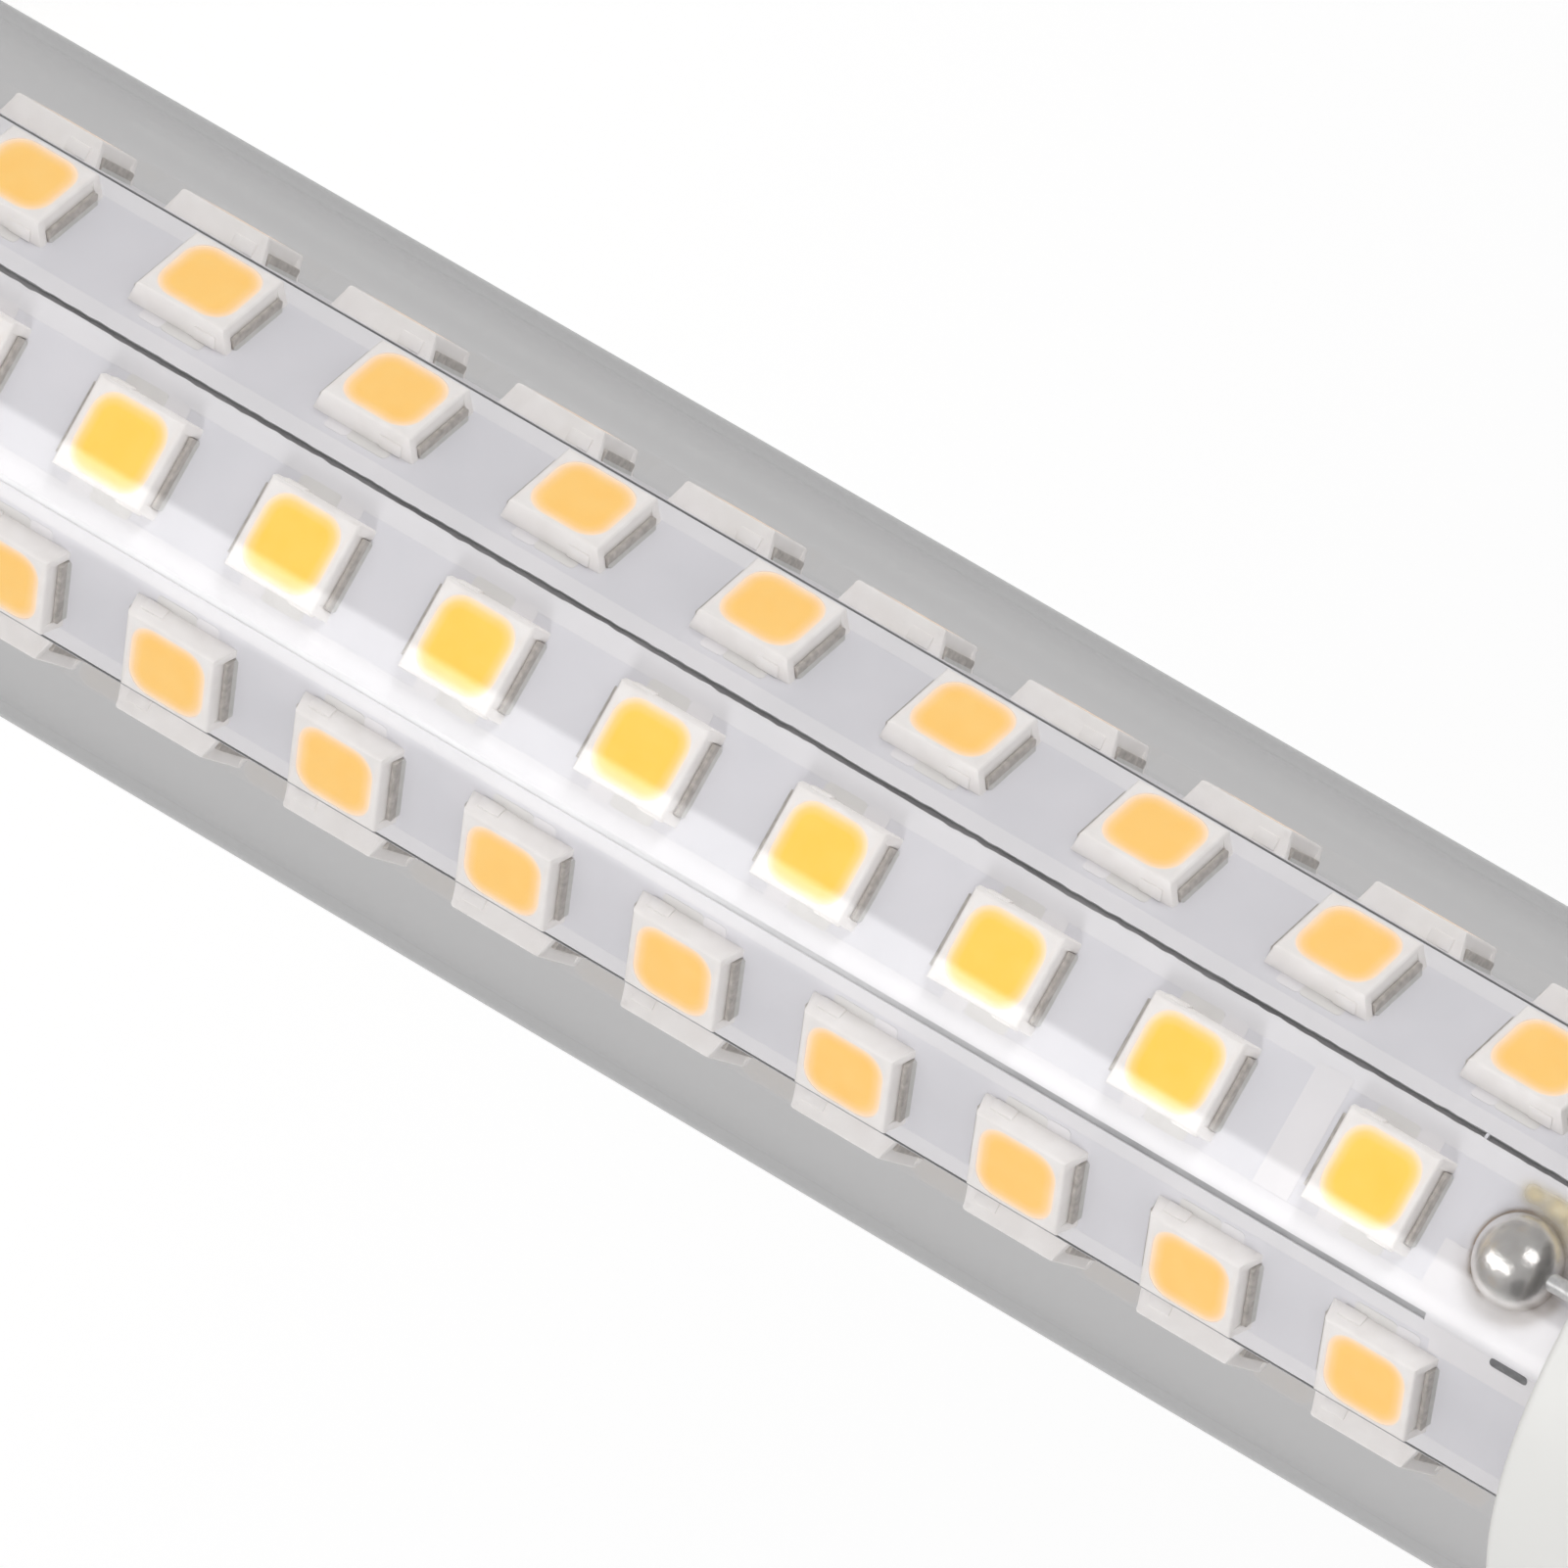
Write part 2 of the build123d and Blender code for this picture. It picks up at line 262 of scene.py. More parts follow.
# Gaps at the low (-1) and high (1) sides of the panels that differ from the plain ones, and the sides of the
# score beside the pad, which the mask covers
side_gaps = {
    (face_count, 1): seam_gap,
    (1, -1): seam_gap,
    (1, 1): pad_fold_gap,
    (2, -1): pad_fold_far_gap,
    (2, 1): side_fold_gap,
    (3, -1): side_fold_gap,
}
masked_sides = ((1, 1), (2, -1))
panels = bmesh.new()
across_panel = panels.verts.layers.float.new("across_panel")
back_share = 1 - 2 * panel_thickness * math.tan(fold_step / 2) / panel_width
for number in range(1, face_count + 1):
    panel = bmesh.new()
    low_end = side_gaps.get((number, -1), fold_gap) / 2 - panel_width / 2
    high_end = panel_width / 2 - side_gaps.get((number, 1), fold_gap) / 2
    centre = (board_start + board_length / 2, (low_end + high_end) / 2, -panel_thickness / 2)
    add_block(panel, (board_length, high_end - low_end, panel_thickness), centre)
    for vert in panel.verts:
        if vert.co.z < centre[2]:
            vert.co.y *= back_share
    front = [edge for edge in panel.edges if all(vert.co.z > centre[2] for vert in edge.verts)]
    round_edges(panel, front, panel_edge)
    panel.normal_update()
    for face in panel.faces:
        side = 1 if face.normal.y > 0 else -1
        if abs(face.normal.y) > upright and (number, side) not in masked_sides:
            face.material_index = 1
    if number in (1, face_count):
        lengthways = [edge for edge in panel.edges if edge.calc_length() > board_length / 2]
        bmesh.ops.subdivide_edges(panel, edges=lengthways, cuts=seam_cuts, use_grid_fill=True)
        seam_side = -1 if number == 1 else 1
        for vert in panel.verts:
            if vert.co.y * seam_side > 0:
                vert.co.y += ragged(vert.co.x, seam_seed * number)
    panel_mesh = bpy.data.meshes.new("panel")
    panel.to_mesh(panel_mesh)
    panel.free()
    earlier = len(panels.verts)
    panels.from_mesh(panel_mesh)
    bpy.data.meshes.remove(panel_mesh)
    panels.verts.ensure_lookup_table()
    fresh = panels.verts[earlier:]
    for vert in fresh:
        vert[across_panel] = vert.co.y
    bmesh.ops.transform(panels, matrix=face_matrix(number), verts=fresh)
white_mask = mask_finish()
scored_aluminium = scored_finish()
board = add_piece("board_panels", panels, white_mask, ["led_board"], panel_sharp_angle)
board.data.materials.append(scored_aluminium)

core = bmesh.new()
core_radius = (apothem - panel_thickness) / math.cos(fold_step / 2)
corner_turn = Matrix.Rotation(fold_step / 2, 4, "Z")
bmesh.ops.create_circle(core, segments=face_count, radius=core_radius, matrix=corner_turn)
bmesh.ops.translate(core, verts=core.verts, vec=(0, 0, board_low.z))
risen = bmesh.ops.extrude_edge_only(core, edges=core.edges)["geom"]
risen_verts = [part for part in risen if isinstance(part, bmesh.types.BMVert)]
bmesh.ops.translate(core, verts=risen_verts, vec=(0, 0, board_length))
bmesh.ops.recalc_face_normals(core, faces=core.faces)
bmesh.ops.solidify(core, geom=core.faces, thickness=core_thickness)
add_piece("board_core", core, scored_aluminium)

web_depth = 0.3 * mm


def fold_matrix(fold):
    """Place on a fold: X out of it, Y across it, Z along the bulb, starting at the rim."""
    angle = -math.pi / 2 + fold_step * (fold - 0.5)
    return Matrix.Translation((0, 0, rim_level)) @ Matrix.Rotation(angle, 4, "Z")


def fold_web(fold, width, start, end, sink=0.0):
    """A strip of the sheet that closes a fold or the seam between two places."""
    reach = apothem / math.cos(fold_step / 2) - width / 2 * math.sin(fold_step / 2) - sink
    centre = (reach - web_depth / 2, 0, -(start + end) / 2)
    web = bmesh.new()
    add_block(web, (web_depth, width, end - start), centre, fold_matrix(fold))
    return web


strip_wing = 0.4 * mm
strip_depth = 0.1 * mm
strip_proud = 0.012 * mm
strip_bend = 0.1 * mm
strip_sink = 0.02 * mm
strip_segments = 5


def bent_strip(fold, start, end):
    """A strip of the sheet bent round a fold that has no score, a hair proud of the panels beside it."""
    half = fold_step / 2
    reach = apothem / math.cos(half) + strip_proud
    wing_x = reach - strip_wing * math.sin(half) - strip_sink
    wing_y = strip_wing * math.cos(half)
    outer = [(wing_x, -wing_y), (reach, 0), (wing_x, wing_y)]
    inner = [(x - strip_depth, y) for x, y in reversed(outer)]
    strip = bmesh.new()
    section = strip.faces.new([strip.verts.new((x, y, -start)) for x, y in outer + inner])
    pulled = bmesh.ops.extrude_face_region(strip, geom=[section])["geom"]
    pulled_verts = [part for part in pulled if isinstance(part, bmesh.types.BMVert)]
    bmesh.ops.translate(strip, vec=(0, 0, start - end), verts=pulled_verts)
    ridge_start = reach - 0.5 * strip_depth
    ridge = [edge for edge in strip.edges if all(vert.co.x > ridge_start for vert in edge.verts)]
    ridge = [edge for edge in ridge if abs(edge.verts[0].co.y) < strip_proud]
    round_edges(strip, ridge, strip_bend, strip_segments)
    bmesh.ops.recalc_face_normals(strip, faces=strip.faces)
    across_strip = strip.verts.layers.float.new("across_panel")
    for vert in strip.verts:
        vert[across_strip] = panel_width / 2
    bmesh.ops.transform(strip, matrix=fold_matrix(fold), verts=strip.verts)
    return strip


pad_fold_strip = bent_strip(1, board_start, pad_fold_closed)
add_piece("pad_fold_web", pad_fold_strip, white_mask, sharp_angle=panel_sharp_angle)
bridge = fold_web(0, bridge_width, bridge_start, bridge_end)
add_piece("seam_bridge", bridge, white_mask)


def score_floor_finish():
    """The floor of the score beside the pad: dark grey near the rim, turning pale grey further on."""
    finish, tree, shader = start_finish("shallow_score", (0.4, 0.4, 0.41), roughness=0.5)
    marks = add_grain(tree, scale=2500, detail=4.0, stretch=(1, 1, 0.3))
    cut = add_ramp(tree, marks, (0.29, 0.29, 0.30), (0.42, 0.42, 0.43))
    pressed = add_ramp(tree, marks, (0.76, 0.76, 0.77), (0.86, 0.86, 0.87))
    place = tree.nodes.new("ShaderNodeTexCoord")
    parts = tree.nodes.new("ShaderNodeSeparateXYZ")
    tree.links.new(place.outputs["Object"], parts.inputs["Vector"])
    # The floor is darker near the rim and paler further on along the score.
    further = add_step(tree, parts.outputs["Z"], rim_level - pad_score_dark_until, rim_level - pad_score_pale_from)
    tree.links.new(add_mix(tree, further, cut, pressed), shader.inputs["Base Color"])
    add_relief(tree, shader, marks, strength=0.2, distance=0.02 * mm)
    return finish


def seam_shade_finish():
    """A dark grey sheet a little below the open seam, painted shade of the gap, with a streaky grain."""
    finish, tree, shader = start_finish("seam_painted_shade", (0.15, 0.15, 0.155), roughness=0.6)
    marks = add_grain(tree, scale=1700, detail=4.0, stretch=(1, 1, 0.25))
    add_tint(tree, shader, marks, (0.17, 0.165, 0.17), (0.32, 0.31, 0.315))
    add_relief(tree, shader, marks, strength=0.3, distance=0.02 * mm)
    return finish


shallow = fold_web(1, pad_score_width, pad_fold_closed, board_end, pad_score_depth)
add_piece("shallow_score", shallow, score_floor_finish())
# Painted shade: a dark grey sheet a little below the open seam stands for the shade in the gap.
seam_shade_sheet = fold_web(0, seam_shade_width, board_start, board_end, seam_shade_depth)
add_piece("seam_painted_shade", seam_shade_sheet, seam_shade_finish())

# Lands of the LED packages: grey-green patches along the long sides of each body, painted shade at its foot,
# and short tabs of copper that join the packages to the copper along the folds. Wider patches of copper lie
# round the negative pad. The tabs and the copper patches are etched with the board, and all stand a hair
# proud of it.
land_thickness = 0.012 * mm
body_length = 3.1 * mm
body_width = 2.8 * mm
shade_patch_length = 1.35 * mm
shade_patch_and_tab_width = 0.55 * mm
shade_patch_along = 0.35 * mm
shade_patch_out = 0.08 * mm
tab_length = 0.75 * mm
tab_along = -0.7 * mm
tab_out = 0.1 * mm
land_corner = 0.12 * mm
least_step = 0.1 * mm


def package_spots(number):
    """Where the packages stand on a panel, from the ends of their bodies in the frame."""
    to_panel = face_matrix(number).inverted()
    body_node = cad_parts[f"led_bodies_face_{number}"]
    corners = [to_panel @ vert.co for vert in body_node.data.vertices]
    places = sorted(corner.x for corner in corners)
    pairs = zip(places, places[1:])
    ends = places[:1] + [later for earlier, later in pairs if later - earlier > least_step]
    across = (min(corner.y for corner in corners) + max(corner.y for corner in corners)) / 2
    return [Vector(((first + last) / 2, across, 0)) for first, last in zip(ends[::2], ends[1::2])]


def shade_patch_finish():
    """Painted shade at the foot of the bodies' long sides: a slightly green grey that varies from patch to
    patch.
    """
    finish, tree, shader = start_finish("painted_shade_tone", (0.6, 0.6, 0.56), roughness=0.4)
    cloud = add_grain(tree, scale=900)
    add_tint(tree, shader, cloud, (0.68, 0.665, 0.65), (0.74, 0.725, 0.71))
    add_relief(tree, shader, add_grain(tree, scale=4000), strength=0.2, distance=0.02 * mm)
    return finish


def round_flat_corners(bm, thickness, corner):
    """Round the upright edges of thin flat shapes off."""
    upright_edges = [edge for edge in bm.edges if edge.calc_length() < 1.1 * thickness]
    round_edges(bm, upright_edges, corner)


shade_patches = bmesh.new()
tabs = bmesh.new()
for number in range(1, face_count + 1):
    panel = face_matrix(number)
    for spot in package_spots(number):
        for side in (-1, 1):
            edge_of_body = side * body_width / 2
            # Painted shade: a grey-green patch along each long side of the body, where its foot is in shade.
            across = edge_of_body + side * shade_patch_out
            shade_patch = spot + Vector((-side * shade_patch_along, across, land_thickness / 2))
            add_block(shade_patches, (shade_patch_length, shade_patch_and_tab_width, land_thickness), shade_patch, panel)
            across = edge_of_body + side * tab_out
            tab = spot + Vector((-side * tab_along, across, land_thickness / 2))
            add_block(tabs, (tab_length, shade_patch_and_tab_width, land_thickness), tab, panel)
round_flat_corners(shade_patches, land_thickness, land_corner)
round_flat_corners(tabs, land_thickness, land_corner)
add_piece("painted_shade_patches", shade_patches, shade_patch_finish())


def copper_finish():
    """White mask over copper, as on the strips along the folds."""
    finish, tree, shader = start_finish("mask_on_copper", (0.76, 0.75, 0.77), roughness=0.42)
    cloud = add_grain(tree, scale=420)
    add_tint(tree, shader, cloud, (0.745, 0.73, 0.745), (0.79, 0.77, 0.785))
    add_relief(tree, shader, add_grain(tree, scale=3200), strength=0.1, distance=0.02 * mm)
    return finish


mask_on_copper = copper_finish()
add_piece("copper_tabs", tabs, mask_on_copper)

pad_panel = face_matrix(1)
side_panel = face_matrix(2)
cross_patch_size = (1.13 * mm, 3.6 * mm)
cross_patch_place = (9.95 * mm, -0.1 * mm)
pad_patch_size = (11.2 * mm, 1.9 * mm)
pad_patch_place = (-0.6 * mm, 1.35 * mm)
side_patch_size = (10.4 * mm, 1.0 * mm)
side_patch_place = (-1.0 * mm, -1.8 * mm)
patches = bmesh.new()
for size, place, panel in (
    (cross_patch_size, cross_patch_place, pad_panel),
    (pad_patch_size, pad_patch_place, pad_panel),
    (side_patch_size, side_patch_place, side_panel),
):
    add_block(patches, (*size, land_thickness), (*place, land_thickness / 2), panel)
add_piece("copper_patches", patches, mask_on_copper)

# LED packages: a white moulded body with posts at its corners and a cup in its top, a yellow phosphor
# fill in the cup, and a tinned terminal between the posts at each end.
# They are soldered down in rows along the panels.
body_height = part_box("led_bodies_face_3")[1].x - apothem
body_draft = 0.965
body_edge = 0.08 * mm
post_length = 0.15 * mm
post_width = 0.3 * mm
post_height = 0.63 * mm
post_inset = 0.004 * mm
stub_length = 0.75 * mm
stub_reach = 0.06 * mm
stub_height = 0.4 * mm
stub_along = 0.95 * mm
moulding_root = 0.2 * mm
moulding_edge = 0.05 * mm
window_margin = 0.12 * mm
window_corner = 0.72 * mm
window_segments = 6
cup_depth = 0.06 * mm
fill_drop = 0.015 * mm
glow_steps = ((0.08 * mm, 0.62), (0.12 * mm, 0.22), (0.2 * mm, 0.0))
window_stretch = (0.97, 1.035, 1)
terminal_reach = 0.17 * mm
terminal_width = 2.15 * mm
terminal_height = 0.34 * mm
terminal_edge = 0.05 * mm
fillet_reach = 0.07 * mm
fillet_height = 0.1 * mm
fillet_toe_height = 0.1
fillet_toe_width = 0.94
facing_out = 0.99
fill_specular = 0.3
# Strength of the fills' painted glow.
fill_painted_glow = 0.14


def cup_outline(bm):
    """Sink the outline of the cup into the highest level face, and give the face inside it."""
    level = [face for face in bm.faces if face.normal.z > facing_out]
    top = max(level, key=lambda face: round(face.calc_center_median().z / mm, 3) + face.calc_area())
    bmesh.ops.inset_region(bm, faces=[top], thickness=window_margin, use_even_offset=True)
    bmesh.ops.scale(bm, vec=window_stretch, verts=top.verts)
    bmesh.ops.bevel(
        bm,
        geom=list(top.verts),
        offset=window_corner,
        segments=window_segments,
        profile=0.5,
        affect="VERTICES",
        material=-1,
    )
    bm.normal_update()
    level = [face for face in bm.faces if face.normal.z > facing_out]
    return max(level, key=lambda face: len(face.verts))


def moulded_block():
    """A body before its cup: a block that narrows upwards, with soft edges."""
    bm = bmesh.new()
    for vert in add_block(bm, (body_length, body_width, body_height), (0, 0, body_height / 2)):
        if vert.co.z > body_height / 2:
            vert.co.x *= body_draft
            vert.co.y *= body_draft
    upper = [edge for edge in bm.edges if all(vert.co.z > body_height / 2 for vert in edge.verts)]
    round_edges(bm, upper, body_edge)
    bm.normal_update()
    return bm


def narrow_upwards(verts):
    """Give the body's draft to some vertices."""
    for vert in verts:
        narrowing = 1 - (1 - body_draft) * vert.co.z / body_height
        vert.co.x *= narrowing
        vert.co.y *= narrowing


def add_post(bm, end, side):
    """A post at a corner of the body: it reaches out at its foot and runs up into the body's end."""
    size = (post_length + moulding_root, post_width, post_height)
    along = end * (body_length + post_length - moulding_root) / 2
    across = side * ((body_width - post_width) / 2 - post_inset)
    verts = add_block(bm, size, (along, across, post_height / 2))
    outer = [vert for vert in verts if end * vert.co.x > body_length / 2]
    for vert in outer:
        if vert.co.z > post_height / 2:
            vert.co.x = end * body_length / 2
    narrow_upwards(verts)
    edges = [edge for edge in bm.edges if all(vert in outer for vert in edge.verts)]
    rising = [edge for edge in edges if abs(edge.verts[0].co.z - edge.verts[1].co.z) > post_height / 2]
    round_edges(bm, rising, moulding_edge)


def add_stub(bm, end):
    """A stub on the side of the body, where it was cut from its frame."""
    size = (stub_length, stub_reach + moulding_root, stub_height)
    across = end * (body_width + stub_reach - moulding_root) / 2
    verts = add_block(bm, size, (-end * stub_along, across, stub_height / 2))
    narrow_upwards(verts)
    round_edges(bm, list({edge for vert in verts for edge in vert.link_edges}), moulding_edge)


def package_body():
    """One body with its cup, its posts and its stubs."""
    bm = moulded_block()
    window = cup_outline(bm)
    glow = bm.verts.layers.float.new("rim_glow")
    for vert in window.verts:
        vert[glow] = 1.0
    cup = bmesh.ops.extrude_discrete_faces(bm, faces=[window])["faces"][0]
    bmesh.ops.translate(bm, verts=cup.verts, vec=(0, 0, -cup_depth))
    for end in (-1, 1):
        for side in (-1, 1):
            add_post(bm, end, side)
        add_stub(bm, end)
    return bm


def package_fill():
    """The phosphor of one package: it fills the cup, and pales where the cup's wall shines through."""
    bm = moulded_block()
    window = cup_outline(bm)
    bmesh.ops.delete(bm, geom=[face for face in bm.faces if face is not window], context="FACES")
    glow = bm.verts.layers.float.new("rim_glow")
    for vert in window.verts:
        vert[glow] = 1.0
        vert.co.z -= fill_drop
    for width, share in glow_steps:
        bmesh.ops.inset_region(bm, faces=[window], thickness=width, use_even_offset=True, use_boundary=True)
        for vert in window.verts:
            vert[glow] = share
    return bm


def package_terminals():
    """The two terminals of one package, bent up between the posts."""
    bm = bmesh.new()
    for end in (-1, 1):
        middle = (end * (body_length + terminal_reach) / 2, 0, terminal_height / 2)
        add_block(bm, (terminal_reach, terminal_width, terminal_height), middle)
    upper = [edge for edge in bm.edges if all(vert.co.z > terminal_height / 2 for vert in edge.verts)]
    round_edges(bm, upper, terminal_edge)
    return bm


def package_fillets():
    """The two solder fillets of one package, from the foot of each terminal down to the board."""
    bm = bmesh.new()
    start = body_length / 2 + terminal_reach
    for end in (-1, 1):
        middle = (end * (start + fillet_reach / 2), 0, fillet_height / 2)
        for vert in add_block(bm, (fillet_reach, terminal_width, fillet_height), middle):
            if abs(vert.co.x) > start + fillet_reach / 2:
                vert.co.z *= fillet_toe_height
                vert.co.y *= fillet_toe_width
    return bm


def package_row(template, number):
    """A copy of a package's part at each of the places on a panel."""
    mesh = bpy.data.meshes.new("package")
    template.to_mesh(mesh)
    template.free()
    row = bmesh.new()
    for spot in package_spots(number):
        place = face_matrix(number) @ Matrix.Translation(spot)
        mesh.transform(place)
        row.from_mesh(mesh)
        mesh.transform(place.inverted())
    bpy.data.meshes.remove(mesh)
    bmesh.ops.recalc_face_normals(row, faces=row.faces)
    return row


def moulding_finish():
    """White moulding compound with a fine tooth; the phosphor lends its colour to the rim of the cup."""
    finish, tree, shader = start_finish("white_moulding", (0.92, 0.89, 0.87), roughness=0.5)
    cloud = add_grain(tree, scale=1800)
    white = add_ramp(tree, cloud, (0.87, 0.835, 0.81), (0.93, 0.90, 0.88))
    peach = add_ramp(tree, cloud, (0.95, 0.84, 0.77), (0.97, 0.86, 0.79))
    tree.links.new(add_mix(tree, add_attribute(tree, "rim_glow"), white, peach), shader.inputs["Base Color"])
    add_relief(tree, shader, add_grain(tree, scale=7000), strength=0.35, distance=0.03 * mm)
    return finish


def fill_finish(name, pale, deep, painted_glow_colour):
    """Phosphor powder in clear resin: slightly cloudy, with a smooth wet surface and a faint painted glow."""
    finish, tree, shader = start_finish(name, deep, roughness=0.3)
    cloud = add_grain(tree, scale=1300)
    blend = add_ramp(tree, cloud, deep, pale)
    rim = add_ramp(tree, cloud, (0.98, 0.80, 0.66), (0.99, 0.84, 0.72))
    tree.links.new(add_mix(tree, add_attribute(tree, "rim_glow"), blend, rim), shader.inputs["Base Color"])
    shader.inputs["Specular IOR Level"].default_value = fill_specular
    # Painted glow: the fill is given a faint emission of its own, though the package is not lit.
    shader.inputs["Emission Color"].default_value = (*painted_glow_colour, 1)
    shader.inputs["Emission Strength"].default_value = fill_painted_glow
    add_relief(tree, shader, add_grain(tree, scale=9000), strength=0.1, distance=0.01 * mm)
    return finish


def tin_finish(name, dark, light, roughness):
    """Tin or solder: a dull grey metal with a frosty grain."""
    finish, tree, shader = start_finish(name, light, roughness=roughness, metallic=0.4)
    frost = add_grain(tree, scale=5000, detail=5.0)
    add_tint(tree, shader, frost, dark, light)
    add_relief(tree, shader, frost, strength=0.35, distance=0.03 * mm)
    return finish


moulding = moulding_finish()
amber_fill = fill_finish("amber_phosphor", (1.0, 0.625, 0.18), (1.0, 0.595, 0.15), (1.0, 0.5, 0.05))
# A lemon copy of the same phosphor: a painted lit tone for the row that faces the camera and catches the
# window's shine.
lit_row_painted_fill = fill_finish("lemon_phosphor_painted_lit_tone", (1.0, 0.63, 0.10), (1.0, 0.60, 0.075), (1.0, 0.6, 0.02))
terminal_tin = tin_finish("terminal_tin", (0.41, 0.38, 0.35), (0.62, 0.58, 0.54), roughness=0.5)
fillet_tin = tin_finish("fillet_tin", (0.62, 0.62, 0.60), (0.70, 0.69, 0.67), roughness=0.45)
for number in range(1, face_count + 1):
    # Panel 1's row gets the lemon copy, a painted lit tone; the other rows get the amber phosphor.
    fill = lit_row_painted_fill if number == 1 else amber_fill
    bodies = package_row(package_body(), number)
    add_piece(f"package_bodies_{number}", bodies, moulding, [f"led_bodies_face_{number}"])
    fills = package_row(package_fill(), number)
    add_piece(f"package_fills_{number}", fills, fill, [f"led_phosphor_face_{number}"])
    terminals = package_row(package_terminals(), number)
    replaced = [f"led_terminals_face_{number}"]
    add_piece(f"package_terminals_{number}", terminals, terminal_tin, replaced)
    fillets = package_row(package_fillets(), number)
    add_piece(f"package_fillets_{number}", fillets, fillet_tin)

# Feeds of the column: a tinned wire from the driver ends in a round blob of solder on a pad of the board.
# Flux left from soldering makes a brown ring round the blob and a pale amber stain beside it.
# The ring's line at the foot of the blob is darker on one side: painted contact shade over the flux.
blob_radius = 1.3 * mm
blob_sink = 0.12 * mm
blob_segments = 64
blob_sway = 0.04 * mm
blob_sway_scale = 700
film_size = 2.2 * mm
film_segments = 56
film_height = 0.02 * mm
film_fade = 8
film_cloud = 0.5
film_cloud_scale = 2600
film_cloud_slice = 3.0
film_least = 0.01
ring_width = 0.1 * mm
ring_shaded_side = Vector((0.75, -0.65))
ring_density = 0.25
ring_shade_density = 0.6
skirt_width = 0.22 * mm
skirt_density = 0.3
stain_height = 1.5 * film_height
stain_density = 0.85

# Spots of the stain: along and across the panel from the pad, and radius, all in mm, then density
stain_spots = (
    (0.6, -1.75, 0.26, 1.0),
    (0.1, -1.72, 0.34, 0.75),
    (-0.45, -1.68, 0.4, 0.8),
    (-1.05, -1.5, 0.48, 0.8),
    (-1.65, -1.3, 0.5, 0.7),
)


def solder_finish():
    """Fresh solder: bright, with faint clouds and a few small pits."""
    finish, tree, shader = start_finish("bright_solder", (0.75, 0.74, 0.73), roughness=0.27, metallic=1.0)
    cloud = add_grain(tree, scale=900, detail=4.0)
    add_tint(tree, shader, cloud, (0.74, 0.72, 0.69), (0.98, 0.96, 0.93))
    add_relief(tree, shader, add_grain(tree, scale=2200, detail=4.0), strength=0.5, distance=0.06 * mm)
    return finish


def flux_finish(name, dark, light):
    """Flux residue: a thin amber varnish, as dense as the film attribute says."""
    finish, tree, shader = start_finish(name, light, roughness=0.3)
    tree.links.new(add_attribute(tree, "film"), shader.inputs["Alpha"])
    cloud = add_grain(tree, scale=1500)
    add_tint(tree, shader, cloud, dark, light)
    add_relief(tree, shader, cloud, strength=0.3, distance=0.05 * mm)
    return finish


def ring_flux_and_shade_film(place):
    """Density of the ring: a line of flux at the blob's foot, denser on one side as painted shade, and a
    faint skirt on the other.
    """
    away = place.length - blob_radius
    facing = 0.5 + 0.5 * place.normalized().dot(ring_shaded_side) if place.length > 0 else 0.5
    # Painted contact shade: the line at the foot is made denser towards the shaded side.
    line = math.exp(-((away / ring_width) ** 2)) * (ring_density + ring_shade_density * facing)
    skirt = math.exp(-(((away - skirt_width) / skirt_width) ** 2)) * skirt_density * (1 - facing)
    return line + skirt


def stain_film(place):
    """How dense the flux is beside the blob: spots that run into each other."""
    film = 0.0
    for along, across, radius, density in stain_spots:
        film += density * math.exp(-(((place / mm - Vector((along, across))).length / radius) ** 2))
    return stain_density * min(1.0, film)


def flux_patch(centre, density, height):
    """A patch of varnish on a panel, with its density at each point, faded out at its edges."""
    patch = bmesh.new()
    film = patch.verts.layers.float.new("film")
    bmesh.ops.create_grid(patch, x_segments=film_segments, y_segments=film_segments, size=film_size)
    for vert in patch.verts:
        place = vert.co.xy
        fade = min(1.0, film_fade * (1 - max(abs(place.x), abs(place.y)) / film_size))
        spot = (place.x * film_cloud_scale, place.y * film_cloud_scale, film_cloud_slice)
        cloudy = 1 + film_cloud * noise.noise(spot)
        vert[film] = min(1.0, density(place) * fade * cloudy)
    bare = [face for face in patch.faces if max(vert[film] for vert in face.verts) < film_least]
    bmesh.ops.delete(patch, geom=bare, context="FACES")
    bmesh.ops.translate(patch, verts=patch.verts, vec=(centre, 0, height))
    return patch


